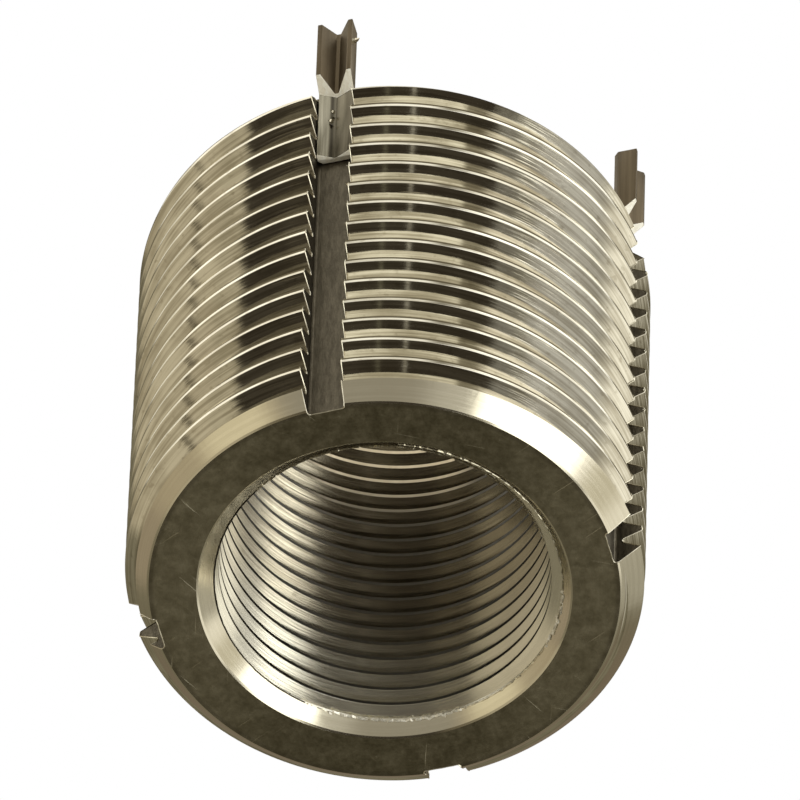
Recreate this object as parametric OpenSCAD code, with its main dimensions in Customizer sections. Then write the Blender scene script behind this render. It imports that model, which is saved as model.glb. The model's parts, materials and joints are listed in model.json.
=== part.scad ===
// Key-locking threaded insert.
// A steel bush with a coarse thread outside and a finer thread inside, which
// screws into a tapped hole in soft metal. Four keys stand part-way out of
// slots in its outer thread. Driven down with a punch they cut across the
// parent metal's threads, and lock the bush against turning.
//
// Sizes are millimetres. The origin is the centre of the leading end face,
// which goes into the hole first; +Z runs along the axis to the keyed end.
// Both threads are drawn as the plain cylinders that bound them: the outer
// one at its crests, the inner one at its bored minor diameter.

/* [Body] */
// Length from the leading end face to the keyed end face
body_length = 32; // [20:0.5:48]
// Diameter over the crests of the outer thread
outer_thread_d = 32; // [28:0.5:42]
// Pitch of the outer thread
outer_thread_pitch = 2; // [1:0.25:2.5]
// Width, along the axis, of the 45 degree chamfer at each end
end_chamfer = 1.45; // [0.5:0.05:2]

/* [Bore] */
// Nominal diameter of the inner thread
inner_thread_d = 22; // [12:0.5:23]
// Pitch of the inner thread
inner_thread_pitch = 1.5; // [0.5:0.25:2]
// How far each mouth's 45 degree countersink is wider than the inner thread, on the radius
countersink_over = 0.5; // [0.2:0.05:0.8]

/* [Slots] */
// Number of slots, and of keys in them
slot_count = 4; // [4]
// Width of a slot at its floor
slot_floor_w = 2.3; // [1.8:0.05:3]
// How much wider than its floor a slot is at the crests, on each side
slot_flare = 0.15; // [0:0.05:0.3]
// How far a slot's floor lies below the root of the outer thread
slot_below_root = 0.55; // [0.3:0.05:0.7]

/* [Keys] */
// Length of a key from end to end
key_length = 12.7; // [10.5:0.1:15.5]
// Length of the full-height ridges at a key's outer end
ridge_length = 5.25; // [4.3:0.05:6.5]
// How far the ridges' edges lie below the crests of the outer thread
ridge_below_crest = 0.25; // [0.1:0.05:0.5]
// Width of each ridge's narrow top
ridge_top_w = 0.28; // [0.2:0.02:0.4]
// Depth of the V groove between the ridges
groove_depth = 0.98; // [0.8:0.02:1.1]
// Width of the V groove's flat bottom
groove_floor_w = 0.24; // [0.1:0.02:0.4]
// Depth of the shallow V down the middle of a key's low shank
shank_dish = 0.3; // [0.2:0.02:0.35]
// How far the low shank's edges lie above the root of the outer thread
shank_above_root = 0.1; // [0:0.02:0.12]
// Bevel at the shank's lower end and along a key's two inner corners
key_bevel = 0.28; // [0.1:0.02:0.32]
// Sliding clearance between a key and the walls and floor of its slot
key_clearance = 0.03; // [0.02:0.01:0.05]
// How far key 1 stands out of the keyed end face, which is how far it is still to be driven
key_1_rise = 6.2; // [5:0.1:8]
// How far key 2 stands out
key_2_rise = 7.2; // [5:0.1:8]
// How far key 3 stands out
key_3_rise = 6.7; // [5:0.1:8]
// How far key 4 stands out
key_4_rise = 6.7; // [5:0.1:8]

/* [Hidden] */
$fn = 96;

// Depth of a 60 degree metric thread from crest to root, as a share of its pitch
THREAD_DEPTH_RATIO = 0.6134;
// Margin by which a cutter passes the surface that it cuts
OVER = 1;

crest_r = outer_thread_d / 2;
root_r = crest_r - THREAD_DEPTH_RATIO * outer_thread_pitch;
end_face_r = crest_r - end_chamfer;

// The bore is drilled one pitch under the nominal size of its thread
bore_r = (inner_thread_d - inner_thread_pitch) / 2;
mouth_r = inner_thread_d / 2 + countersink_over;
countersink_depth = mouth_r - bore_r;

slot_floor_r = root_r - slot_below_root;
slot_step = 360 / slot_count;

key_inner_r = slot_floor_r + key_clearance;
key_w = slot_floor_w - 2 * key_clearance;
ridge_r = crest_r - ridge_below_crest;
shank_r = root_r + shank_above_root;
lead_in = ridge_r - shank_r;

// Half-section of the bush, turned about the axis
module body_section() {
    polygon([
        [mouth_r, 0],
        [end_face_r, 0],
        [crest_r, end_chamfer],
        [crest_r, body_length - end_chamfer],
        [end_face_r, body_length],
        [mouth_r, body_length],
        [bore_r, body_length - countersink_depth],
        [bore_r, countersink_depth],
    ]);
}

// Section of a slot, which opens along +X and flares a little towards the crests
module slot_section() {
    half_floor = slot_floor_w / 2;
    flare_slope = slot_flare / (crest_r - slot_floor_r);
    cut_r = crest_r + OVER;
    half_mouth = half_floor + flare_slope * (cut_r - slot_floor_r);
    polygon([
        [slot_floor_r, -half_floor],
        [cut_r, -half_mouth],
        [cut_r, half_mouth],
        [slot_floor_r, half_floor],
    ]);
}

module body() {
    color([0.71, 0.68, 0.60])
    difference() {
        rotate_extrude() body_section();
        for (i = [0 : slot_count - 1])
            rotate([0, 0, i * slot_step])
                translate([0, 0, -OVER])
                    linear_extrude(body_length + 2 * OVER) slot_section();
    }
}

// Section of a key through its ridges: a flat back with bevelled corners
// against the slot's floor, and two ridges with a V groove between them
module ridge_section() {
    half_w = key_w / 2;
    half_groove = half_w - ridge_top_w;
    half_floor = groove_floor_w / 2;
    groove_r = ridge_r - groove_depth;
    polygon([
        [key_inner_r, -half_w + key_bevel],
        [key_inner_r + key_bevel, -half_w],
        [ridge_r, -half_w],
        [ridge_r, -half_groove],
        [groove_r, -half_floor],
        [groove_r, half_floor],
        [ridge_r, half_groove],
        [ridge_r, half_w],
        [key_inner_r + key_bevel, half_w],
        [key_inner_r, half_w - key_bevel],
    ]);
}

// Everything that lies outside the low shank, which is dished along its middle
module shank_clear_section() {
    half_w = key_w / 2;
    clear_r = ridge_r + OVER;
    polygon([
        [clear_r, -half_w - OVER],
        [shank_r, -half_w - OVER],
        [shank_r, -half_w],
        [shank_r - shank_dish, 0],
        [shank_r, half_w],
        [shank_r, half_w + OVER],
        [clear_r, half_w + OVER],
    ]);
}

// Side view, radius by height, of what is cut away below the ridges:
// the cut runs up to them at 45 degrees
module lead_in_side() {
    ridge_start = key_length - ridge_length;
    clear_r = ridge_r + OVER;
    low_r = shank_r - shank_dish - OVER;
    polygon([
        [low_r, -OVER],
        [clear_r, -OVER],
        [clear_r, ridge_start + OVER],
        [ridge_r, ridge_start],
        [shank_r, ridge_start - lead_in],
        [low_r, ridge_start - lead_in - (shank_r - low_r)],
    ]);
}

// Side view of the corner that is bevelled off the shank's lower end
module end_bevel_side() {
    polygon([
        [shank_r - key_bevel - OVER, -OVER],
        [shank_r + OVER, -OVER],
        [shank_r + OVER, key_bevel + OVER],
    ]);
}

// A side view laid in the X-Z plane and drawn through the width of a key
module across_key() {
    rotate([90, 0, 0])
        linear_extrude(key_w + 4 * OVER, center = true) children();
}

// A key on the +X side, with its lower end at z = 0
module key_blank() {
    difference() {
        linear_extrude(key_length) ridge_section();
        intersection() {
            translate([0, 0, -OVER])
                linear_extrude(key_length) shank_clear_section();
            across_key() lead_in_side();
        }
        across_key() end_bevel_side();
    }
}

module key(index, rise) {
    color([0.40, 0.36, 0.30])
    rotate([0, 0, index * slot_step])
        translate([0, 0, body_length + rise - key_length]) key_blank();
}

body();
key(0, key_1_rise);  // key_1
key(1, key_2_rise);  // key_2
key(2, key_3_rise);  // key_3
key(3, key_4_rise);  // key_4
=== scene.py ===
# %% [markdown]
# # A key-locking threaded insert, from the inside out
#
# The object is a steel bush for repairing a stripped hole in soft metal. It has a coarse thread
# outside, a finer thread inside, and four small keys that stand part-way out of slots in the
# outer thread. The bush is screwed in, and the keys are driven down with a punch.
#
# The measured CAD model comes first, as a fixed frame. Blender adds what CAD leaves out: the
# two real threads, the burrs that the slot cutter throws up, worn edges, and the steel.

# %% Load the measured model
import json
import math
import random

import bmesh
import bpy
from mathutils import Matrix, Vector

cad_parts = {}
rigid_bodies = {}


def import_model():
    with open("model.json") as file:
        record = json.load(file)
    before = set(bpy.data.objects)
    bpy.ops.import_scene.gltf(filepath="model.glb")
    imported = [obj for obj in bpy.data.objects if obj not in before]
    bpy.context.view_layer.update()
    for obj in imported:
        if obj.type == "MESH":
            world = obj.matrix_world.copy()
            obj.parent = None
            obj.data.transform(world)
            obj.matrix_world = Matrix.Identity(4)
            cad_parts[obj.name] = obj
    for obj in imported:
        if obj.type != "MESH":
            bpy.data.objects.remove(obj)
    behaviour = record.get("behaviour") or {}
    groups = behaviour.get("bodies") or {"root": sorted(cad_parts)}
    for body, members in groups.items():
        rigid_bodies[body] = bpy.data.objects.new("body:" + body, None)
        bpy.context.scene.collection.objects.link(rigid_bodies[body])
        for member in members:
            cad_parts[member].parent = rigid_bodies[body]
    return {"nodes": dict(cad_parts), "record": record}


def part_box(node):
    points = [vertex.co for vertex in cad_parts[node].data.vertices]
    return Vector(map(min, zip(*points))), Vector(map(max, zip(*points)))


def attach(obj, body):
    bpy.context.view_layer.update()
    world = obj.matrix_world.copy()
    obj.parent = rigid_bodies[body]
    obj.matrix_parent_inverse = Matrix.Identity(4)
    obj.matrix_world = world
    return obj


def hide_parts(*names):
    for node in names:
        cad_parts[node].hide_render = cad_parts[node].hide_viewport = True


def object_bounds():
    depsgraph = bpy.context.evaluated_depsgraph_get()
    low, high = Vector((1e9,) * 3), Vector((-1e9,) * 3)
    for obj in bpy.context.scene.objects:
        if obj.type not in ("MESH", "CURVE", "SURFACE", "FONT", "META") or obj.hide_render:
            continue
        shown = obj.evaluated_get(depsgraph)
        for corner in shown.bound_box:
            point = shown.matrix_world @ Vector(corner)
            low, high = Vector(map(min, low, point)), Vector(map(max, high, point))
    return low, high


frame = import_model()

cad_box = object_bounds()
MM = 0.001
print("measured box", [[round(v / MM, 2) for v in corner] for corner in cad_box])

# %% [markdown]
# ## Sizes that everything else follows
#
# Every size that the CAD model already holds is read from it, so the two can't drift apart.
# The pin on the record is the outer thread at its crests, and its length is the bush less the
# two chamfers. The hole is the bore, and its length is the bush less the two countersinks.
# Only what CAD does not draw, such as the pitch of each thread, is written here.

# %% Read the sizes from the frame
mounts = {mount["name"]: mount for mount in frame["record"]["mounts"]}
bush_low, bush_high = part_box("body")
key_low, key_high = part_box("key_1")

bush_length = bush_high.z - bush_low.z
crest_r = mounts["outer_thread"]["dims"]["r_mm"] * MM
end_chamfer = (bush_length - mounts["outer_thread"]["dims"]["length_mm"] * MM) / 2
bore_r = mounts["inner_thread"]["dims"]["r_mm"] * MM
countersink = (bush_length - mounts["inner_thread"]["dims"]["length_mm"] * MM) / 2
face_r = crest_r - end_chamfer
mouth_r = bore_r + countersink

key_gap = 0.03 * MM   # between a key and its slot, all round
slot_floor_r = key_low.x - key_gap
slot_floor_width = key_high.y - key_low.y + 2 * key_gap
slot_flare = 0.15 * MM   # how much wider a slot is at the crests, on each side
slot_angles = [0, 90, 180, 270]

outer_pitch = 2.0 * MM
inner_pitch = 1.5 * MM
WELD = 0.0001 * MM   # corners nearer than this are one corner
print("bush", round(bush_length / MM, 2), "long; crests at", crest_r / MM)
print("bore", bore_r / MM, "; slot floor at", round(slot_floor_r / MM, 3))

# %% [markdown]
# ## Small helpers
#
# Blender's modelling operators act on whatever is selected, as they would under your hands.
# So each helper first makes the selection plain. `pick` selects corners, edges or faces of the
# open piece by a test on where they are, and `settle` fixes a piece's place into its mesh.

# %% Helpers for selecting and finishing


def deselect_all():
    """Leaves nothing selected, so that the next operator acts on one piece only."""
    for piece in bpy.context.view_layer.objects:
        piece.select_set(False)


def work_on(piece):
    """Makes this piece the only selected one, and the active one."""
    deselect_all()
    piece.select_set(True)
    bpy.context.view_layer.objects.active = piece


def named(name):
    """Names the piece that has just been added."""
    piece = bpy.context.active_object
    piece.name = name
    piece.data.name = name
    return piece


def open_all():
    """Opens the active piece in edit mode, with all of it selected."""
    bpy.ops.object.mode_set(mode="EDIT")
    bpy.ops.mesh.select_all(action="SELECT")


def close_mesh():
    """Goes back to object mode."""
    bpy.ops.object.mode_set(mode="OBJECT")


def pick(kind, test):
    """In edit mode, selects only the VERT, EDGE or FACE elements that pass the test."""
    bpy.ops.mesh.select_mode(type=kind)
    bpy.ops.mesh.select_all(action="DESELECT")
    mesh = bpy.context.edit_object.data
    bm = bmesh.from_edit_mesh(mesh)
    elements = {"VERT": bm.verts, "EDGE": bm.edges, "FACE": bm.faces}[kind]
    count = 0
    for element in elements:
        if test(element):
            element.select_set(True)
            count += 1
    bmesh.update_edit_mesh(mesh)
    return count


def give_selected(piece, finish):
    """In edit mode, gives the selected faces one of the piece's own finishes."""
    piece.active_material_index = piece.data.materials.find(finish.name)
    bpy.ops.object.material_slot_assign()


def settle(piece):
    """Fixes a piece's place, turn and size into its mesh."""
    work_on(piece)
    bpy.ops.object.transform_apply(location=True, rotation=True, scale=True)
    return piece


def joined(pieces, name):
    """Joins pieces into one, with its place fixed into its mesh."""
    deselect_all()
    for piece in pieces:
        piece.select_set(True)
    bpy.context.view_layer.objects.active = pieces[0]
    bpy.ops.object.join()
    return settle(named(name))


def cut(piece, tool, operation="DIFFERENCE"):
    """Cuts a tool's shape away, or keeps only what lies in it, then throws the tool away."""
    work_on(piece)
    boolean = piece.modifiers.new("cut", "BOOLEAN")
    boolean.operation = operation
    boolean.solver = "MANIFOLD"
    boolean.material_mode = "TRANSFER"
    boolean.object = tool
    bpy.ops.object.modifier_apply(modifier=boolean.name)
    bpy.data.objects.remove(tool)


def shade(piece, angle=10):
    """Smooth round the axis and crisp across the edges."""
    work_on(piece)
    bpy.ops.object.shade_smooth_by_angle(angle=math.radians(angle))


def triangles(piece):
    """How many triangles a piece has."""
    return sum(len(face.vertices) - 2 for face in piece.data.polygons)


# %% [markdown]
# ## The camera
#
# The bush stands on its leading end, and the camera looks up at that end from below, a long
# way off through a long lens. The axis leans a little in the frame. Key 1 is just to the left
# of the nearest line of the bush, so the camera stands a little round from it.

# %% Place the camera
view_azimuth = math.radians(16.0)   # from key 1, round the axis
view_tilt = math.radians(37.35)     # from straight below
view_roll = math.radians(2.03)
view_distance = 1.243
aim_height = 0.4935 * cad_box[1][2]
aim_aside = 0.54 * MM

to_camera = Vector((
    math.sin(view_tilt) * math.cos(view_azimuth),
    math.sin(view_tilt) * math.sin(view_azimuth),
    -math.cos(view_tilt),
))
level_right = Vector((-math.sin(view_azimuth), math.cos(view_azimuth), 0))
level_up = to_camera.cross(level_right)
view_right = level_right * math.cos(view_roll) + level_up * math.sin(view_roll)
view_up = to_camera.cross(view_right)

bpy.ops.object.camera_add()
camera = bpy.context.active_object
camera.name = "camera"
camera.data.sensor_width = 36
camera.data.lens = 900
aim = Vector((0, 0, aim_height)) + view_right * aim_aside
camera.matrix_world = Matrix.Translation(aim + to_camera * view_distance) @ Matrix((
    (view_right.x, view_up.x, to_camera.x, 0),
    (view_right.y, view_up.y, to_camera.y, 0),
    (view_right.z, view_up.z, to_camera.z, 0),
    (0, 0, 0, 1),
))
bpy.context.scene.camera = camera
print("camera at", [round(v, 3) for v in camera.location])

# %% [markdown]
# ## A short way to write node materials
#
# A material is a set of nodes that are wired together. Written out in full it hides what it
# does, so a small class adds one node with each call, and a recipe reads as a few sums.

# %% A class that wires nodes


class Wiring:
    """Adds nodes to one material and wires them."""

    def __init__(self, tree):
        self.nodes = tree.nodes
        self.links = tree.links

    def plug(self, value, socket):
        """Wires an output to a socket, or writes a plain number or colour into it."""
        if isinstance(value, bpy.types.NodeSocket):
            self.links.new(value, socket)
        else:
            socket.default_value = value

    def place(self):
        """Where a point is on the piece, in metres."""
        return self.nodes.new("ShaderNodeTexCoord").outputs["Object"]

    def axes(self, where):
        """The X, Y and Z of a place, as the outputs of one node."""
        node = self.nodes.new("ShaderNodeSeparateXYZ")
        self.plug(where, node.inputs["Vector"])
        return node.outputs

    def maths(self, operation, a, b=0.0, c=0.0):
        """One sum on numbers or outputs."""
        node = self.nodes.new("ShaderNodeMath")
        node.operation = operation
        for value, socket in zip((a, b, c), node.inputs):
            self.plug(value, socket)
        return node.outputs[0]

    def times(self, a, b):
        """Two numbers or outputs multiplied."""
        return self.maths("MULTIPLY", a, b)

    def vector(self, operation, a, b=(0, 0, 0)):
        """One sum on places or directions."""
        node = self.nodes.new("ShaderNodeVectorMath")
        node.operation = operation
        self.plug(a, node.inputs[0])
        self.plug(b, node.inputs[1])
        return node.outputs["Value" if operation in ("DOT_PRODUCT", "LENGTH") else "Vector"]

    def remap(self, value, low, high, to_low=0.0, to_high=1.0, smooth=False):
        """Turns the range from low to high into the range from to_low to to_high."""
        node = self.nodes.new("ShaderNodeMapRange")
        node.interpolation_type = "SMOOTHSTEP" if smooth else "LINEAR"
        for number, socket in zip((value, low, high, to_low, to_high), node.inputs):
            self.plug(number, socket)
        return node.outputs["Result"]

    def blend(self, amount, a, b):
        """Colour a where the amount is 0, and colour b where it is 1."""
        node = self.nodes.new("ShaderNodeMix")
        node.data_type = "RGBA"
        self.plug(amount, node.inputs["Factor"])
        self.plug(a, node.inputs["A"])
        self.plug(b, node.inputs["B"])
        return node.outputs["Result"]

    def noise(self, where, detail=3.0, w=None, roughness=0.5):
        """Soft random values. A w makes them change with something besides the place."""
        node = self.nodes.new("ShaderNodeTexNoise")
        node.noise_dimensions = "3D" if w is None else "4D"
        node.inputs["Scale"].default_value = 1
        node.inputs["Detail"].default_value = detail
        node.inputs["Roughness"].default_value = roughness
        self.plug(where, node.inputs["Vector"])
        if w is not None:
            self.plug(w, node.inputs["W"])
        return node.outputs["Fac"]

    def weigh(self, *parts):
        """The sum of some outputs, each times its own weight."""
        total = self.times(*parts[0])
        for value, weight in parts[1:]:
            total = self.maths("ADD", total, self.times(value, weight))
        return total

    def spread(self, where, x, y, z):
        """Scales a place on each axis, which gives a noise that many grains to the metre."""
        return self.vector("MULTIPLY", where, (x, y, z))

    def show(self, shader, kind="Material"):
        """Ends the material, or the world, with this shader."""
        output = self.nodes.new("ShaderNodeOutput" + kind)
        self.links.new(shader, output.inputs["Surface"])


# %% [markdown]
# ## Steel, as each tool leaves it
#
# The whole bush is one steel, but every cut leaves its own finish on it. A lathe leaves fine
# lines round the axis, which break a reflection into streaks. A milling cutter tears the sides
# of the slots, and a drawing die scores the keys along their length. So there is one recipe for
# each way of working steel, given its two colours, the range of its roughness and the depth of
# its relief. Each tool carries its finish, and the Boolean modifier hands it on to the faces
# that the tool cuts.

# %% Start and end a recipe
STEEL = (0.70, 0.655, 0.54, 1)
ASIDE = (-0.28, 0.96, 0)   # a level line across the bush, towards the side that key 2 is on


def start_recipe(name):
    """A new material, the wiring for its nodes, and where a point is on the piece."""
    material = bpy.data.materials.new(name)
    material.use_nodes = True
    material.node_tree.nodes.clear()
    wiring = Wiring(material.node_tree)
    return material, wiring, wiring.place()


def finish_with(wiring, colour, roughness, height, depth, metallic=1.0):
    """Ends a recipe: bare metal of this colour and roughness, with this relief."""
    shader = wiring.nodes.new("ShaderNodeBsdfPrincipled")
    wiring.plug(metallic, shader.inputs["Metallic"])
    wiring.plug(colour, shader.inputs["Base Color"])
    wiring.plug(roughness, shader.inputs["Roughness"])
    relief = wiring.nodes.new("ShaderNodeBump")
    relief.inputs["Distance"].default_value = depth
    wiring.plug(height, relief.inputs["Height"])
    wiring.links.new(relief.outputs["Normal"], shader.inputs["Normal"])
    wiring.show(shader.outputs["BSDF"])


# %% [markdown]
# ### Turned steel
#
# A noise that is squeezed along the axis and the radius, and hardly changes round the axis,
# gives lines that run round the work. The radius goes in as the noise's fourth input. The bore
# has painted light and shade laid over: painted light at its mouth, and painted shade further in
# and down one side.

# %% Turned steel
# Painted shade inside the bore, and painted light at its mouth.
PAINTED_BORE_SHADE = (0.12, 0.1, 0.07, 1)
PAINTED_MOUTH_LIGHT = (1.0, 0.97, 0.85, 1)


def paint_bore_light_and_shade(wiring, where, colour):
    """The colour of a tapped bore with painted shade further in and down one side and painted
    light at its mouth, and how metallic it is at each depth.
    """
    height = wiring.axes(where)["Z"]
    # Painted shade, darker further into the bore and down one side.
    depth_shade = wiring.remap(height, 0, 11 * MM)
    across = wiring.vector("DOT_PRODUCT", where, ASIDE)
    painted_shade = wiring.remap(across, -3 * MM, 6 * MM, 0, 0.4, smooth=True)
    painted_shade = wiring.times(painted_shade, wiring.remap(height, 2 * MM, 9 * MM, 0.4, 1.0))
    painted_shade = wiring.maths("ADD", painted_shade, wiring.times(depth_shade, 0.26))
    # Painted light at the mouth. The metallic share rises from the mouth inwards along with the
    # painted shade.
    mouth_light = wiring.remap(height, 4 * MM, 12 * MM, 0.75, 0.0, smooth=True)
    colour = wiring.blend(mouth_light, colour, PAINTED_MOUTH_LIGHT)
    return wiring.blend(painted_shade, colour, PAINTED_BORE_SHADE), wiring.remap(depth_shade, 0, 1, 0.84, 1.0)


def turned_steel(name, bright, dull, smooth, rough, depth, bore_shaded=False):
    """Steel with the fine lines that a cutting edge leaves as the work turns."""
    material, wiring, where = start_recipe(name)
    radius = wiring.vector("LENGTH", wiring.spread(where, 1, 1, 0))
    long_lines = wiring.noise(
        wiring.spread(where, 60, 60, 6500), 2, wiring.times(radius, 6500))
    short_lines = wiring.noise(
        wiring.spread(where, 420, 420, 15000), 3, wiring.times(radius, 15000))
    stain = wiring.noise(wiring.spread(where, 320, 320, 320), 4)
    lines = wiring.weigh((long_lines, 0.7), (short_lines, 0.3))
    tone = wiring.weigh((stain, 0.4), (long_lines, 0.6))
    flecks = wiring.noise(wiring.spread(where, 1500, 1500, 4200), 2)
    tone = wiring.maths("SUBTRACT", wiring.remap(tone, 0.4, 0.6),
                        wiring.remap(flecks, 0.62, 0.78, 0, 0.6))
    colour = wiring.blend(tone, dull, bright)
    roughness = wiring.remap(short_lines, 0.3, 0.7, smooth, rough)
    metallic = 1.0
    if bore_shaded:
        colour, metallic = paint_bore_light_and_shade(wiring, where, colour)
    finish_with(wiring, colour, roughness, lines, depth, metallic)
    return material


# %% [markdown]
# ### Milled steel
#
# A milled or sheared face is torn into short marks along the axis, with a fine grain over them.
# A feather edge is torn so finely that it scatters light as paper does.

# %% Milled steel


def milled_steel(name, bright, dull, smooth, rough, depth, metallic=1.0):
    """Steel torn by a cutter that passes along the axis."""
    material, wiring, where = start_recipe(name)
    tears = wiring.noise(wiring.spread(where, 3200, 3200, 700), 4, roughness=0.65)
    grain = wiring.noise(wiring.spread(where, 9000, 9000, 5000), 2)
    colour = wiring.blend(wiring.remap(tears, 0.4, 0.68), dull, bright)
    roughness = wiring.remap(grain, 0.3, 0.7, smooth, rough)
    height = wiring.maths("ADD", tears, wiring.times(grain, 0.3))
    finish_with(wiring, colour, roughness, height, depth, metallic)
    return material


# %% [markdown]
# ### Drawn steel
#
# The keys are wire that was drawn through a die, so they are brown, with fine lines along their
# length. One side of the shank carries a painted reflection that makes it lighter, up to a
# painted dark line. The keys are a quarter turn apart, so the sine of four times the angle round
# the axis tells how far to one side of its key a point lies, and one recipe serves all four.

# %% Drawn steel
# A painted reflection, lighter on one side of a shank, and the painted dark line where it ends.
SHANK_REFLECTION = (0.5, 0.47, 0.37, 1)
SHANK_DARK_REFLECTION = (0.02, 0.017, 0.012, 1)


def paint_shank_reflection(wiring, where, die_lines, colour, painted_sheen):
    """The colour of a key's shank with a painted reflection on one side, up to a painted dark
    line.
    """
    axes = wiring.axes(where)
    turn = wiring.maths("ARCTAN2", axes["Y"], axes["X"])
    aside = wiring.maths("SINE", wiring.times(turn, 4))
    from_line = wiring.maths("ABSOLUTE", wiring.maths("ADD", aside, 0.07))
    dark_line = wiring.remap(from_line, 0.01, 0.035, 0.6, 0)
    # The side that carries the painted reflection.
    side = wiring.times(wiring.remap(aside, -0.13, -0.1, 1, 0), painted_sheen)
    side = wiring.times(side, wiring.remap(die_lines, 0.35, 0.65, 0.6, 1))
    colour = wiring.blend(side, colour, SHANK_REFLECTION)
    return wiring.blend(dark_line, colour, SHANK_DARK_REFLECTION)


def drawn_steel(name, bright, dull, smooth, rough, painted_sheen=0.0):
    """Wire drawn through a die, with a painted reflection on one side of it if asked."""
    material, wiring, where = start_recipe(name)
    die_lines = wiring.noise(wiring.spread(where, 5500, 5500, 120), 3, roughness=0.6)
    bands = wiring.noise(wiring.spread(where, 1300, 1300, 60), 1)
    stain = wiring.noise(wiring.spread(where, 700, 700, 350), 4)
    tone = wiring.weigh((bands, 0.35), (stain, 0.3), (die_lines, 0.35))
    colour = wiring.blend(wiring.remap(tone, 0.36, 0.64), dull, bright)
    if painted_sheen:
        colour = paint_shank_reflection(wiring, where, die_lines, colour, painted_sheen)
    roughness = wiring.remap(stain, 0.35, 0.65, smooth, rough)
    height = wiring.maths("ADD", die_lines, bands)
    finish_with(wiring, colour, roughness, height, 0.006 * MM)
    return material


# %% [markdown]
# ### The lands and the end faces
#
# The lands of the bore are the drill's own surface, painted dark as the shade inside the bore,
# with painted light from the far mouth deep down one side. The end faces are matt and pitted,
# with a painted reflection that makes them paler towards two opposite sides. Their scratches are
# noise that is drawn out along four directions, of which only the highest ridges show.

# %% The lands and the end faces
# Painted light from the far mouth, on the deep lands of one side of the bore.
PAINTED_FAR_LIGHT = (0.62, 0.53, 0.38, 1)
RIM_STAIN = (0.16, 0.14, 0.105, 1)


def land_shade_steel(name, bright, dull):
    """The lands between the tapped grooves: painted dark as shade, with painted light from the
    far mouth deep down one side of the bore.
    """
    material, wiring, where = start_recipe(name)
    tears = wiring.noise(wiring.spread(where, 3200, 3200, 700), 4, roughness=0.65)
    # The lands are painted dark as the shade inside the bore.
    dark = wiring.blend(wiring.remap(tears, 0.4, 0.68), dull, bright)
    deep = wiring.remap(wiring.axes(where)["Z"], 19 * MM, 27 * MM, smooth=True)
    far_side = wiring.vector("DOT_PRODUCT", where, (-0.96, -0.28, 0))
    far_side = wiring.remap(far_side, 8.2 * MM, 9.9 * MM, smooth=True)
    colour = wiring.blend(wiring.times(deep, far_side), dark, PAINTED_FAR_LIGHT)
    finish_with(wiring, colour, wiring.remap(tears, 0.3, 0.7, 0.3, 0.5), tears, 0.01 * MM)
    return material


def face_steel(name, bright, dull):
    """The faced ends: matt and dark, with arcs of the facing tool, pits and stray scratches."""
    material, wiring, where = start_recipe(name)
    radius = wiring.vector("LENGTH", wiring.spread(where, 1, 1, 0))
    arcs = wiring.noise(wiring.spread(where, 160, 160, 0), 3, wiring.times(radius, 6000))
    mottle = wiring.noise(wiring.spread(where, 900, 900, 900), 5, roughness=0.6)
    patches = wiring.noise(wiring.spread(where, 150, 150, 150), 3)
    scratches = 0.0
    for turn in (17, 64, 118, 151):
        angle = math.radians(turn)
        along = wiring.vector("DOT_PRODUCT", where, (math.cos(angle), math.sin(angle), 0))
        across = wiring.vector("DOT_PRODUCT", where, (-math.sin(angle), math.cos(angle), 0))
        drawn_out = wiring.nodes.new("ShaderNodeCombineXYZ")
        wiring.plug(wiring.times(along, 190), drawn_out.inputs["X"])
        wiring.plug(wiring.times(across, 5200), drawn_out.inputs["Y"])
        drawn_out.inputs["Z"].default_value = turn
        scratch = wiring.remap(wiring.noise(drawn_out.outputs["Vector"], 1), 0.74, 0.8)
        scratches = wiring.maths("MAXIMUM", scratches, scratch)
    tone = wiring.remap(
        wiring.weigh((mottle, 0.6), (patches, 0.4)), 0.4, 0.6, -0.035, 0.035)
    pits = wiring.noise(wiring.spread(where, 2600, 2600, 2600), 4, roughness=0.7)
    tone = wiring.maths("ADD", tone, wiring.remap(pits, 0.38, 0.62, -0.14, 0.14))
    # Painted reflection: the faced end is made paler towards two opposite sides.
    across = wiring.maths("ABSOLUTE", wiring.vector("DOT_PRODUCT", where, ASIDE))
    side_sheen = wiring.remap(across, 0.3 * crest_r, 0.75 * crest_r, 0.2, 0.7, smooth=True)
    colour = wiring.blend(wiring.maths("ADD", side_sheen, tone), dull, bright)
    specks = wiring.remap(pits, 0.66, 0.72, 0, 0.5)
    colour = wiring.blend(specks, colour, STEEL)
    rim = wiring.remap(radius, face_r - 0.45 * MM, face_r - 0.2 * MM, 0, 0.45, smooth=True)
    colour = wiring.blend(rim, colour, RIM_STAIN)
    colour = wiring.blend(wiring.times(scratches, 0.5), colour, STEEL)
    roughness = wiring.remap(mottle, 0.35, 0.65, 0.32, 0.5)
    height = wiring.maths("ADD", arcs, wiring.maths("ADD", mottle, pits))
    height = wiring.maths("SUBTRACT", height, wiring.times(scratches, 0.8))
    finish_with(wiring, colour, roughness, height, 0.014 * MM)
    return material


# %% Mix the finishes
thread_finish = turned_steel(
    "turned_thread_steel", bright=(0.8, 0.76, 0.65, 1), dull=(0.48, 0.44, 0.35, 1),
    smooth=0.03, rough=0.08, depth=0.004 * MM)
chamfer_finish = turned_steel(
    "turned_chamfer_steel", bright=(0.68, 0.635, 0.52, 1), dull=(0.62, 0.575, 0.465, 1),
    smooth=0.1, rough=0.2, depth=0.001 * MM)
# The bore has painted shade further in and painted light at its mouth.
bore_finish = turned_steel(
    "tapped_bore_steel", bright=(0.82, 0.76, 0.61, 1), dull=(0.6, 0.54, 0.42, 1),
    smooth=0.12, rough=0.25, depth=0.008 * MM, bore_shaded=True)
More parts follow.
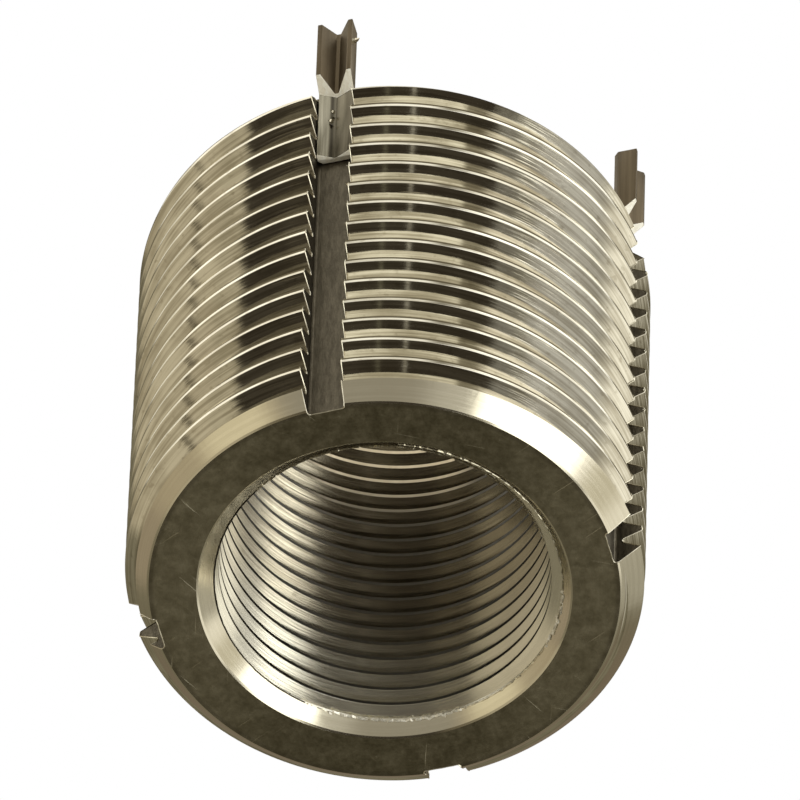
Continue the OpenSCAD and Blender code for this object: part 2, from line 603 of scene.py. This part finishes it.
# The lands are painted dark as shade, with painted light from the far mouth.
land_shade_finish = land_shade_steel(
    "land_painted_shade_and_light", bright=(0.055, 0.047, 0.033, 1), dull=(0.03, 0.026, 0.018, 1))
# The end faces carry a painted reflection, paler towards two opposite sides.
face_finish = face_steel(
    "faced_end_steel", bright=(0.5, 0.46, 0.35, 1), dull=(0.2, 0.178, 0.12, 1))
slot_finish = milled_steel(
    "milled_slot_steel", bright=(0.145, 0.125, 0.09, 1), dull=(0.085, 0.072, 0.05, 1),
    smooth=0.3, rough=0.5, depth=0.02 * MM)
burr_finish = milled_steel(
    "torn_edge_steel", bright=STEEL, dull=(0.5, 0.46, 0.36, 1),
    smooth=0.12, rough=0.3, depth=0.004 * MM)
feather_finish = milled_steel(
    "feather_edge_steel", bright=(0.95, 0.92, 0.84, 1), dull=(0.7, 0.66, 0.56, 1),
    smooth=0.2, rough=0.35, depth=0.004 * MM, metallic=0.4)
ridge_finish = drawn_steel(
    "drawn_ridge_steel", bright=(0.165, 0.128, 0.08, 1), dull=(0.075, 0.055, 0.031, 1),
    smooth=0.35, rough=0.5)
# The shank carries a painted reflection on one side, up to a painted dark line.
shank_finish = drawn_steel(
    "drawn_shank_steel", bright=(0.2, 0.18, 0.135, 1), dull=(0.09, 0.078, 0.055, 1),
    smooth=0.12, rough=0.25, painted_sheen=0.7)
# The sheared faces of a key are torn so finely that they look white, so they are not metallic.
key_cut_finish = milled_steel(
    "cut_key_steel", bright=(1, 0.98, 0.89, 1), dull=(0.9, 0.85, 0.72, 1),
    smooth=0.25, rough=0.4, depth=0.03 * MM, metallic=0)
print(len(bpy.data.materials), "materials")

# %% [markdown]
# ## A thread as a tool
#
# A thread is one tooth's outline carried round the axis while it climbs by one pitch a turn.
# The outline is drawn as by hand: one point is extruded step by step along the root, up one
# flank, over the crest and down the other. The Screw modifier then carries it round. The ends
# are closed to points well past the bush, which gives a solid that can cut or be cut.

# %% Draw a tooth


def tooth_outline(pitch, crest, depth, crest_width, corner, root_facets, half_angle, lean=0):
    """Radius and height of each point of one tooth, from the middle of one root to the next.

    A positive depth makes an outer thread, a negative one an inner thread's hollow.
    The lean is how far the crest has been rolled over by its upper edge, and the corner is how
    much each edge of the crest is broken.
    """
    sign = 1 if depth > 0 else -1
    depth = abs(depth)
    half_crest = crest_width / 2
    slope = math.tan(math.radians(half_angle))
    root_half = pitch / 2 - half_crest - depth * slope
    full_turn = math.radians(90 - half_angle)
    root_round = root_half / math.tan(full_turn / 2)
    flank = []
    for facet in range(root_facets + 1):
        turn = full_turn * facet / root_facets
        flank.append((
            depth - root_round * (1 - math.cos(turn)),
            pitch / 2 - root_round * math.sin(turn),
        ))
    flank.append((corner * math.cos(math.radians(half_angle)),
                  half_crest + corner * math.sin(math.radians(half_angle))))
    flank.append((0, half_crest - corner))
    rising = [(crest - sign * d, -h) for d, h in flank]
    if lean:
        del flank[-2:]
        flank += [(lean, half_crest + lean * slope), (0, 0)]
    falling = [(crest - sign * d, h) for d, h in reversed(flank)]
    return rising + falling


# %% Screw a tooth round the axis


def thread_tool(name, outline, pitch, start_height, turns, steps):
    """A closed screw of this outline, its first crest at start_height on the +X side."""
    deselect_all()
    first_r, first_z = outline[0]
    bpy.ops.mesh.primitive_plane_add(size=MM, location=(first_r, 0, start_height + first_z))
    tool = settle(named(name))
    open_all()
    bpy.ops.mesh.merge(type="CENTER")
    bpy.ops.mesh.select_mode(type="VERT")
    bpy.ops.mesh.select_all(action="SELECT")
    for (r0, z0), (r1, z1) in zip(outline, outline[1:]):
        step = {"value": (r1 - r0, 0, z1 - z0)}
        bpy.ops.mesh.extrude_region_move(TRANSFORM_OT_translate=step)
    close_mesh()
    screw = tool.modifiers.new("screw", "SCREW")
    screw.axis = "Z"
    screw.screw_offset = pitch
    screw.iterations = turns
    screw.steps = steps
    screw.render_steps = steps
    screw.use_merge_vertices = False
    bpy.ops.object.modifier_apply(modifier=screw.name)
    open_all()
    bpy.ops.mesh.remove_doubles(threshold=WELD)
    middle = start_height + turns * pitch / 2
    for below in (True, False):
        pick("EDGE", lambda edge: edge.is_boundary
             and (edge.verts[0].co.z < middle) == below)
        bpy.ops.mesh.extrude_region_move()
        bpy.ops.mesh.merge(type="CENTER")
    bpy.ops.mesh.select_all(action="SELECT")
    bpy.ops.mesh.normals_make_consistent(inside=False)
    close_mesh()
    print(name, "has", triangles(tool), "triangles")
    return tool


# %% [markdown]
# ## The blank: a turned ring
#
# Before any thread is cut, the bush is a ring with chamfered ends. A turned form starts as a
# circle, which is extruded ring by ring: out across the end face, up the chamfer, along the
# outside, and back down through the bore. The outside and the bore are left with metal to
# spare, because the thread tools decide where the steel ends.

# %% Turn the blank


def turned(name, outline, side_sheen):
    """A closed ring turned from an outline of (radius, height) points."""
    deselect_all()
    first_r, first_z = outline[0]
    bpy.ops.mesh.primitive_circle_add(
        vertices=side_sheen, radius=first_r, location=(0, 0, first_z))
    piece = settle(named(name))
    open_all()
    closed = outline + [outline[0]]
    for (r0, z0), (r1, z1) in zip(closed, closed[1:]):
        bpy.ops.mesh.extrude_region_move(TRANSFORM_OT_translate={"value": (0, 0, z1 - z0)})
        bpy.ops.transform.resize(value=(r1 / r0, r1 / r0, 1), center_override=(0, 0, z1))
    bpy.ops.mesh.select_all(action="SELECT")
    bpy.ops.mesh.remove_doubles(threshold=WELD)
    bpy.ops.mesh.normals_make_consistent(inside=False)
    close_mesh()
    return piece


AROUND = 240                    # sides of the ring, and steps in a turn of its thread
spare = 1.0 * MM                # how far a tool or the blank passes the finished surface
edge_break = 0.06 * MM          # how far the edges of the end faces are broken, in width
edge_drop = edge_break * 1.3    # and in height
narrow_r = bore_r - spare
wide_r = crest_r + spare
blank_outline = [
    (mouth_r + edge_break, 0),
    (face_r - edge_break, 0),
    (face_r + edge_break, edge_drop),
    (wide_r, end_chamfer + spare),
    (wide_r, bush_length - end_chamfer - spare),
    (face_r + edge_break, bush_length - edge_drop),
    (face_r - edge_break, bush_length),
    (mouth_r + edge_break, bush_length),
    (mouth_r - edge_break, bush_length - edge_drop),
    (narrow_r, bush_length - countersink - spare),
    (narrow_r, countersink + spare),
    (mouth_r - edge_break, edge_drop),
]
bush = turned("bush", blank_outline, AROUND)
finishes = (chamfer_finish, face_finish, thread_finish, bore_finish, slot_finish, land_shade_finish)
for finish in finishes:
    bush.data.materials.append(finish)
work_on(bush)
bpy.ops.object.mode_set(mode="EDIT")
pick("FACE", lambda face: abs(face.normal.z) > 0.99)
give_selected(bush, face_finish)
close_mesh()
print("blank:", triangles(bush), "triangles")

# %% [markdown]
# ## The outer thread
#
# The thread tool is as wide as the finished thread, so the bush is what the blank and the tool
# have in common. Each crest has been rolled over to one side. The tool starts below the bush
# and ends above it, so the thread runs out through both chamfers, as on the real one.

# %% Cut the outer thread
outer_outline = tooth_outline(
    pitch=outer_pitch,
    crest=crest_r,
    depth=0.6134 * outer_pitch,   # a metric outer thread's share of its pitch
    crest_width=0.42 * MM,
    corner=0.015 * MM,
    root_facets=3,
    half_angle=28,
    lean=0.06 * MM,
)
outer_crest_height = 0.6 * MM   # where a crest passes over key 1's side, above the lower face
outer_tool = thread_tool(
    "outer_tool", outer_outline, outer_pitch,
    outer_crest_height - outer_pitch, round(bush_length / outer_pitch) + 2, AROUND,
)
outer_tool.data.materials.append(thread_finish)
cut(bush, outer_tool, "INTERSECT")
print("bush with its outer thread:", triangles(bush), "triangles")

# %% [markdown]
# ## The inner thread
#
# A tap is a screw too, but here its teeth take metal away: its solid core fills the bore, and
# each tooth cuts a groove into the wall. What is left between two grooves is the land.

# %% Tap the bore
inner_outline = tooth_outline(
    pitch=inner_pitch,
    crest=bore_r,
    depth=-0.5413 * inner_pitch,   # a metric inner thread's share of its pitch
    crest_width=inner_pitch / 5,
    corner=0.01 * MM,
    root_facets=1,
    half_angle=30,
)
inner_groove_height = 0.29 * MM   # of the first groove on key 1's side, above the lower face
tap = thread_tool(
    "tap", inner_outline, inner_pitch,
    inner_groove_height + inner_pitch / 2 - 2 * inner_pitch,
    round(bush_length / inner_pitch) + 3, steps=192,
)
tap.data.materials.append(bore_finish)
cut(bush, tap)
print("tapped bush:", triangles(bush), "triangles")

# %% [markdown]
# ## The slots
#
# The cutter is a bar that is longer than the bush. Its outer face is widened, because the slots
# flare, and its two long edges at the floor are rounded, as a real cutter's corners are.

# %% Mill the slots
cutter_depth = 2.5 * MM    # from a slot's floor to well outside the crests
floor_corner = 0.16 * MM   # the rounding along both sides of a slot's floor


def is_floor_corner(edge):
    """True for the two long edges of the cutter at the slot's floor."""
    low, high = edge.verts
    return abs(low.co.z - high.co.z) > bush_length \
        and all(abs(end.co.x - slot_floor_r) < WELD for end in (low, high))


def slot_cutter(angle):
    """A flared bar that mills one slot from end to end."""
    deselect_all()
    bpy.ops.mesh.primitive_cube_add(
        size=1, location=(slot_floor_r + cutter_depth / 2, 0, bush_length / 2))
    cutter = named("slot_cutter")
    cutter.scale = (cutter_depth, slot_floor_width, bush_length + 2 * spare)
    settle(cutter)
    bpy.ops.object.mode_set(mode="EDIT")
    pick("FACE", lambda face: face.normal.x > 0.9)
    flare = slot_flare / (crest_r - slot_floor_r) * cutter_depth
    widen = 1 + 2 * flare / slot_floor_width
    top_middle = (slot_floor_r + cutter_depth, 0, bush_length / 2)
    bpy.ops.transform.resize(value=(1, widen, 1), center_override=top_middle)
    pick("EDGE", is_floor_corner)
    bpy.ops.mesh.bevel(offset=floor_corner, segments=3, affect="EDGES")
    close_mesh()
    cutter.data.materials.append(slot_finish)
    cutter.rotation_euler = (0, 0, math.radians(angle))
    return settle(cutter)


for angle in slot_angles:
    cut(bush, slot_cutter(angle))
shade(bush)
print("slotted bush:", triangles(bush), "triangles")

# %% [markdown]
# ## The lands of the bore
#
# The flat tops between the grooves were left by the drill, not by the tap, so they are picked
# out by where they lie: at the bore's own radius, and upright.

# %% Mark the lands of the bore


def is_land(face):
    """True for a face that the drill left."""
    from_bore = abs(face.calc_center_median().xy.length - bore_r)
    return from_bore < 0.02 * MM and abs(face.normal.z) < 0.3


work_on(bush)
bpy.ops.object.mode_set(mode="EDIT")
lands = pick("FACE", is_land)
# The lands take the finish with painted shade and painted light.
give_selected(bush, land_shade_finish)
close_mesh()
print(lands, "land faces")

# %% [markdown]
# ## Burrs
#
# A cutter that runs across a thread throws up a thin ragged lip along every edge that it makes,
# and a tap leaves one where it breaks into the countersink. The lips are taken from the bush
# itself: the edges where two finishes meet are kept as a bare wire, shaken a little, and given
# a thickness. At the lower mouth of the bore, one stretch of the edge gets a dark wire instead,
# which paints the shadow under an undercut lip, and two others get a pale curl.

# %% Make a lip from some edges of the bush
LIP_WELD = 0.05 * MM   # steps along a lip that are shorter than this are merged


def ragged_lip(name, finish, keep, shake, thickness, seed):
    """A thin ragged wire along the edges of the bush that pass the test."""
    work_on(bush)
    bpy.ops.object.duplicate()
    lip = named(name)
    bpy.ops.object.mode_set(mode="EDIT")
    count = pick("EDGE", keep)
    bpy.ops.mesh.select_all(action="INVERT")
    bpy.ops.mesh.delete(type="EDGE")
    bpy.ops.mesh.select_all(action="SELECT")
    bpy.ops.mesh.remove_doubles(threshold=LIP_WELD)
    bpy.ops.transform.vertex_random(offset=shake, seed=seed)
    close_mesh()
    bpy.ops.object.convert(target="CURVE")
    lip.data.bevel_depth = thickness / 2
    lip.data.bevel_resolution = 0
    lip.data.use_fill_caps = True
    bpy.ops.object.convert(target="MESH")
    lip = bpy.context.active_object
    lip.data.materials.clear()
    lip.data.materials.append(finish)
    print(name, count, "edges,", triangles(lip), "triangles")
    return lip


# %% Tell the edges apart
# The stretch of the lower mouth where a dark wire paints shadow, and the stretches that curl.
shadowed_stretch = ((222, 325),)            # in degrees round the axis from key 1
curled_stretches = ((168, 212), (106, 130))


def finishes_beside(edge):
    """The finishes of the faces that meet at an edge of the bush."""
    return {finishes[face.material_index] for face in edge.link_faces}


def at_slot_edge(edge):
    """True where the milled wall of a slot meets any other finish."""
    beside = finishes_beside(edge)
    return len(beside) == 2 and slot_finish in beside


def at_bore_mouth(edge):
    """True where the tapped bore meets a countersink."""
    beside = finishes_beside(edge)
    return len(beside) == 2 and chamfer_finish in beside \
        and (bore_finish in beside or land_shade_finish in beside)


def at_lower_mouth(edge, stretches):
    """True on some stretches of the lower bore mouth."""
    place = edge.verts[0].co
    turn = math.degrees(math.atan2(place.y, place.x)) % 360
    return place.z < bush_length / 2 and at_bore_mouth(edge) \
        and any(start < turn < end for start, end in stretches)


# %% Raise the lips
slot_lip = ragged_lip(
    "slot_lip", burr_finish, at_slot_edge,
    shake=0.03 * MM, thickness=0.08 * MM, seed=3)
bore_lip = ragged_lip(
    "bore_lip", burr_finish,
    lambda edge: at_bore_mouth(edge) and not at_lower_mouth(edge, shadowed_stretch),
    shake=0.06 * MM, thickness=0.09 * MM, seed=8)
# A dark wire that paints the shadow along one stretch of the lower mouth.
bore_mouth_shadow = ragged_lip(
    "bore_mouth_shadow", land_shade_finish, lambda edge: at_lower_mouth(edge, shadowed_stretch),
    shake=0.02 * MM, thickness=0.11 * MM, seed=6)
bore_curl = ragged_lip(
    "bore_curl", feather_finish, lambda edge: at_lower_mouth(edge, curled_stretches),
    shake=0.14 * MM, thickness=0.2 * MM, seed=4)
for lip in (slot_lip, bore_lip, bore_mouth_shadow, bore_curl):
    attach(lip, "body")

# The lips are copies of the bush, so the bush takes its own marks only once they are made.
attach(bush, "body")
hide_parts("body")

# %% [markdown]
# ## Slivers
#
# Where a crest of the thread ends at a slot, the cutter left a longer sliver. One is modelled,
# as a pentagon that is extruded, shifted and shrunk three times. The rest are copies, each with
# a size, a depth and a swing drawn from a seeded row of chances.

# %% Model a sliver
SLIVER_STEPS = ((0.07, 0.01, 0.8), (0.06, 0.03, 0.62), (0.04, 0.045, 0.3))   # rise, lean, size
foot_sink = 0.02 * MM   # how far into a wall a sliver's foot is set


def sliver():
    """One torn sliver of steel, which leans and thins to its tip."""
    deselect_all()
    bpy.ops.mesh.primitive_circle_add(
        vertices=5, radius=0.07 * MM, fill_type="NGON", location=(0, 0, 0))
    piece = named("sliver")
    open_all()
    for rise, lean, size in SLIVER_STEPS:
        step = {"value": (lean * MM, 0, rise * MM)}
        bpy.ops.mesh.extrude_region_move(TRANSFORM_OT_translate=step)
        bpy.ops.transform.resize(value=(size, size, 1))
    bpy.ops.mesh.select_all(action="SELECT")
    bpy.ops.mesh.normals_make_consistent(inside=False)
    close_mesh()
    piece.data.materials.append(burr_finish)
    return piece


def turned_by(degrees, axis):
    """A turn about one axis."""
    return Matrix.Rotation(math.radians(degrees), 4, axis)


# %% Plant the slivers along the slots
wall = slot_floor_width / 2 + slot_flare
wall_r = math.sqrt(crest_r ** 2 - wall ** 2)
wall_degrees = math.degrees(math.asin(wall / crest_r))
chance = random.Random(5)
first_sliver = sliver()
slivers = []
for angle in slot_angles:
    for side in (-1, 1):
        height = outer_crest_height + outer_pitch * (angle + wall_degrees * side) / 360
        while height < bush_length - end_chamfer - 0.4 * MM:
            if height > end_chamfer + 0.3 * MM:
                copy = first_sliver.copy()
                copy.data = first_sliver.data.copy()
                bpy.context.collection.objects.link(copy)
                size = chance.uniform(0.45, 1.0)
                depth = chance.uniform(0.04, 0.12) * MM
                swing = chance.uniform(-70, 70)
                place = Matrix.Translation((wall_r - depth, side * (wall + foot_sink), height))
                copy.matrix_world = turned_by(angle, "Z") @ place @ turned_by(90 * side, "X") \
                    @ turned_by(swing, "Z") @ Matrix.Scale(size, 4)
                slivers.append(copy)
            height += outer_pitch
bpy.data.objects.remove(first_sliver)
crest_slivers = joined(slivers, "crest_slivers")
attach(crest_slivers, "body")
print(len(slivers), "slivers,", triangles(crest_slivers), "triangles")

# %% [markdown]
# ## Keys
#
# Each key is a short length of drawn wire with a V groove, cut to length. The drawing die left
# it dull and brown with fine lines along it, while the shears left the feet of the ridge and
# the end bright. The measured solid already has the right shape, so each key is a copy of it,
# with its loose triangles merged, its flat faces joined, and its sharp edges worn round.

# %% Wear the keys
KEY_WELD = 0.001 * MM
ridge_reach = 4.6 * MM   # the faces that are further than this below a key's top are its shank
key_wear = 0.09 * MM     # how much of each sharp edge is worn away
for number in (1, 2, 3, 4):
    node = frame["nodes"]["key_%d" % number]
    key_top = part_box("key_%d" % number)[1].z
    mesh = node.data.copy()
    key = bpy.data.objects.new("worn_key_%d" % number, mesh)
    bpy.context.collection.objects.link(key)
    mesh.name = key.name
    mesh.materials.clear()
    for finish in (ridge_finish, key_cut_finish, shank_finish):
        mesh.materials.append(finish)
    work_on(key)
    open_all()
    bpy.ops.mesh.remove_doubles(threshold=KEY_WELD)
    bpy.ops.mesh.dissolve_limited(angle_limit=math.radians(2))
    bpy.ops.mesh.select_all(action="SELECT")
    give_selected(key, ridge_finish)
    pick("FACE", lambda face: max(corner.co.z for corner in face.verts) < key_top - ridge_reach)
    give_selected(key, shank_finish)
    cut_faces = pick("FACE", lambda face: face.normal.z < -0.3)
    give_selected(key, key_cut_finish)
    pick("EDGE", lambda edge: len(edge.link_faces) == 2
         and edge.calc_face_angle(0) > math.radians(20))
    bpy.ops.mesh.bevel(offset=key_wear, segments=2, affect="EDGES", clamp_overlap=True)
    close_mesh()
    shade(key, 25)
    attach(key, "key_%d" % number)
    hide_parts("key_%d" % number)
    print(key.name, cut_faces, "bright faces,", triangles(key), "triangles")

# %% [markdown]
# ## Spurs
#
# The shears also left one spur on the side of the first key's ridge, and two flecks on its
# shank. They are slivers too, but larger.

# %% Put the spurs on the first key
shank_face = key_low.x + 0.68 * MM
spur_places = (   # distance below the key's top, Y, X, tilt, swing and size
    (2.1 * MM, key_high.y, key_high.x - 0.25 * MM, -90, 20, 3),
    (8.4 * MM, -0.05 * MM, shank_face, 60, 60, 2),
    (9.3 * MM, -0.15 * MM, shank_face, 60, 130, 2.3),
)
spurs = []
for below, side, radius, tilt, swing, size in spur_places:
    spur = sliver()
    place = Matrix.Translation((radius, side - foot_sink, key_high.z - below))
    spur.matrix_world = place @ turned_by(tilt, "X") @ turned_by(swing, "Z") \
        @ Matrix.Scale(size, 4)
    spurs.append(spur)
key_spurs = joined(spurs, "key_1_spurs")
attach(key_spurs, "key_1")
print(len(spurs), "spurs,", triangles(key_spurs), "triangles")

# %% [markdown]
# ## The floor
#
# The floor is a pale disc just below the bush. It is painted on its upper side only, and fades
# away round the bush, because the camera looks up through it. Light passes through it too.

# %% Lay the floor
floor_r = 0.45
floor_drop = 0.2 * MM
fade_start, fade_end = 0.04, 0.16

deselect_all()
bpy.ops.mesh.primitive_circle_add(
    vertices=64, radius=floor_r, fill_type="NGON", location=(0, 0, -floor_drop))
floor = named("floor")
floor_finish, wiring, where = start_recipe("pale_floor")
paint = wiring.nodes.new("ShaderNodeBsdfDiffuse")
paint.inputs["Color"].default_value = (0.8, 0.8, 0.8, 1)
clear = wiring.nodes.new("ShaderNodeBsdfTransparent")
geometry = wiring.nodes.new("ShaderNodeNewGeometry")
far = wiring.remap(wiring.vector("LENGTH", where), fade_start, fade_end, smooth=True)
mix = wiring.nodes.new("ShaderNodeMixShader")
wiring.plug(wiring.maths("MAXIMUM", far, geometry.outputs["Backfacing"]), mix.inputs["Fac"])
wiring.links.new(paint.outputs["BSDF"], mix.inputs[1])
wiring.links.new(clear.outputs["BSDF"], mix.inputs[2])
wiring.show(mix.outputs["Shader"])
floor.data.materials.append(floor_finish)
floor.visible_glossy = False
floor.visible_diffuse = False
floor.visible_shadow = False
print("floor", floor_r * 2, "m across")

# %% [markdown]
# ## The light tent
#
# Bright steel has almost no colour of its own: it shows whatever stands round it. So the studio
# matters as much as the steel. A sphere round the bush is painted with soft boxes and boards,
# as a small product tent would be hung with them. The camera's own dark opening is one of them,
# because the thread's flanks face it. Later boards hang in front of earlier ones.

# %% List the boards of the tent
# Each board: its name, its direction as (right, up, towards the camera), its half width and
# half height in degrees, its turn, the softness of its edge, and its colour.
ALL_ROUND = 90
tent_boards = [
    ("dome", (0, 0.8, 0.6), ALL_ROUND, 60, 0, 0.2, (0.40, 0.38, 0.32)),
    ("front board", (-0.1, 0.3, 0.95), 34, 20, 0, 0.4, (0.40, 0.375, 0.31)),
    ("front right board", (0.43, 0.2, 0.88), 12, 14, 0, 0.5, (0.66, 0.64, 0.56)),
    ("left board", (-0.92, -0.1, 0.37), 32, 17, 0, 0.2, (0.52, 0.45, 0.32)),
    ("left softbox", (-0.93, 0.4, 0), 30, 17, 0, 0.12, (1.4, 1.35, 1.2)),
    ("right softbox", (0.94, 0.33, 0.09), 50, 30, 0, 0.1, (1.45, 1.44, 1.4)),
    ("upper left board", (-0.6, 0.7, 0.38), 20, 17, 0, 0.3, (0.2, 0.185, 0.15)),
    ("top strip", (-0.02, 0.93, 0.35), 28, 11, 0, 0.04, (1.2, 1.2, 1.13)),
    ("back left softbox", (-0.55, 0.6, -0.58), 18, 26, 0, 0.2, (1.5, 1.45, 1.3)),
    ("back right softbox", (0.65, 0.56, -0.51), 15, 28, 0, 0.2, (1.8, 1.8, 1.7)),
    ("back top", (0, 0.97, -0.25), 12, 14, 0, 0.25, (1.2, 1.18, 1.1)),
    ("left card", (-0.8, 0.03, 0.6), 12, 12, 0, 0.4, (0.9, 0.82, 0.6)),
    ("low front", (0, -0.84, 0.54), 36, 24, 0, 0.3, (0.09, 0.08, 0.055)),
    ("low left", (-0.72, -0.52, 0.46), 16, 22, 0, 0.15, (0.56, 0.5, 0.37)),
    ("low left shade", (-0.53, -0.44, 0.72), 6, 20, 0, 0.15, (0.5, 0.45, 0.33)),
    ("low right shade", (0.59, -0.52, 0.62), 10, 17, 0, 0.3, (0.55, 0.54, 0.5)),
    ("low right card", (0.52, -0.372, 0.769), 10, 1.9, -24, 0.25, (2.5, 2.45, 2.25)),
    ("low right", (0.855, -0.48, 0.155), 18, 16.5, 0, 0.2, (1.15, 1.12, 1.0)),
    ("right card", (0.728, -0.09, 0.68), 18, 18.8, 0, 0.06, (2.6, 2.6, 2.4)),
    ("right edge", (0.935, -0.25, 0.24), 7, 7, 0, 0.5, (0.76, 0.72, 0.58)),
    ("opening edge", (0.365, -0.44, 0.82), 5, 6, 0, 0.5, (0.24, 0.23, 0.2)),
    ("camera opening", (-0.105, -0.33, 0.94), 27, 17, 6, 0.03, (0.05, 0.042, 0.03)),
    ("opening haze", (-0.47, -0.25, 0.846), 7, 4, 0, 0.4, (0.22, 0.19, 0.13)),
    ("left seam", (-0.652, -0.523, 0.545), 0.8, 3, 0, 0.5, (0.15, 0.13, 0.09)),
    ("opening seam", (0.07, -0.3, 0.95), 0.35, 6, 0, 0.4, (0.4, 0.38, 0.32)),
    ("second seam", (-0.03, -0.3, 0.95), 0.35, 6, 0, 0.4, (0.15, 0.14, 0.1)),
    ("back low right", (0.84, -0.47, -0.27), 12, 18, 0, 0.3, (0.5, 0.48, 0.4)),
    ("back low left", (-0.9, -0.38, -0.2), 13, 14, 0, 0.3, (0.4, 0.34, 0.25)),
    ("back centre", (0, 0.42, -0.9), 25, 21, 0, 0.2, (0.2, 0.17, 0.11)),
    ("back left card", (-0.54, 0.2, -0.82), 8, 10, 0, 0.3, (0.95, 0.9, 0.75)),
    ("back low", (0.04, -0.38, -0.92), 36, 22, 0, 0.3, (0.22, 0.18, 0.13)),
]
tent_backdrop = (0.22, 0.2, 0.14)
print(len(tent_boards), "boards")

# %% Hang the tent


SQUARENESS = 8.0   # 2 would make a board an ellipse, and a very high power a sharp rectangle
tent_r = 3         # so large that the whole bush sees a board in the same direction


def tent_direction(right, up, near):
    """A direction given as seen from the camera, turned into the model's own axes."""
    return (view_right * right + view_up * up + to_camera * near).normalized()


def board_mask(wiring, toward, direction, half_width, half_height, turn, softness):
    """1 inside a board with rounded corners, 0 outside, with a soft edge."""
    middle = tent_direction(*direction)
    across = view_up.cross(middle).normalized()
    along = middle.cross(across)
    twist = Matrix.Rotation(math.radians(turn), 3, middle)
    total = 0.0
    for axis, half in ((twist @ across, half_width), (twist @ along, half_height)):
        if half < ALL_ROUND:
            scaled = axis / math.sin(math.radians(half))
            offset = wiring.vector("DOT_PRODUCT", toward, scaled)
            total = wiring.maths("ADD", total, wiring.maths("POWER", offset, SQUARENESS))
    reach = wiring.maths("POWER", total, 1 / SQUARENESS)
    inside = wiring.remap(reach, 1 + softness, 1 - softness, smooth=True)
    # The same sums are true straight opposite the board, so only the half ahead is kept.
    ahead = wiring.vector("DOT_PRODUCT", toward, middle)
    return wiring.times(inside, wiring.remap(ahead, 0.0, 0.2, smooth=True))


deselect_all()
bpy.ops.mesh.primitive_uv_sphere_add(segments=48, ring_count=24, radius=tent_r)
tent = named("light_tent")
work_on(tent)
open_all()
bpy.ops.mesh.flip_normals()
close_mesh()
tent_cloth, wiring, where = start_recipe("tent_cloth")
toward = wiring.vector("NORMALIZE", where)
colour = tent_backdrop + (1,)
for name, direction, half_width, half_height, turn, softness, board_colour in tent_boards:
    mask = board_mask(wiring, toward, direction, half_width, half_height, turn, softness)
    colour = wiring.blend(mask, colour, board_colour + (1,))
glow = wiring.nodes.new("ShaderNodeEmission")
wiring.plug(colour, glow.inputs["Color"])
wiring.show(glow.outputs["Emission"])
tent.data.materials.append(tent_cloth)
tent.visible_camera = False
print("tent", tent_r * 2, "m across,", len(tent_cloth.node_tree.nodes), "nodes")

# %% [markdown]
# ## The world
#
# The camera doesn't see the tent, but the world behind it, which is plain white for the camera
# and in mirrors and glass. The Light Path node tells what is looking.

# %% A white world for the camera
world = bpy.data.worlds.new("studio")
bpy.context.scene.world = world
world.use_nodes = True
world.node_tree.nodes.clear()
wiring = Wiring(world.node_tree)
path = wiring.nodes.new("ShaderNodeLightPath")
seen = wiring.maths("MAXIMUM", path.outputs["Is Camera Ray"], path.outputs["Is Glossy Ray"])
seen = wiring.maths("MAXIMUM", seen, path.outputs["Is Transmission Ray"])
background = wiring.nodes.new("ShaderNodeBackground")
wiring.plug(wiring.blend(seen, (0.5, 0.5, 0.5, 1), (1, 1, 1, 1)), background.inputs["Color"])
wiring.show(background.outputs["Background"], "World")
bpy.context.scene.view_settings.view_transform = "Standard"
print("world:", len(world.node_tree.nodes), "nodes")
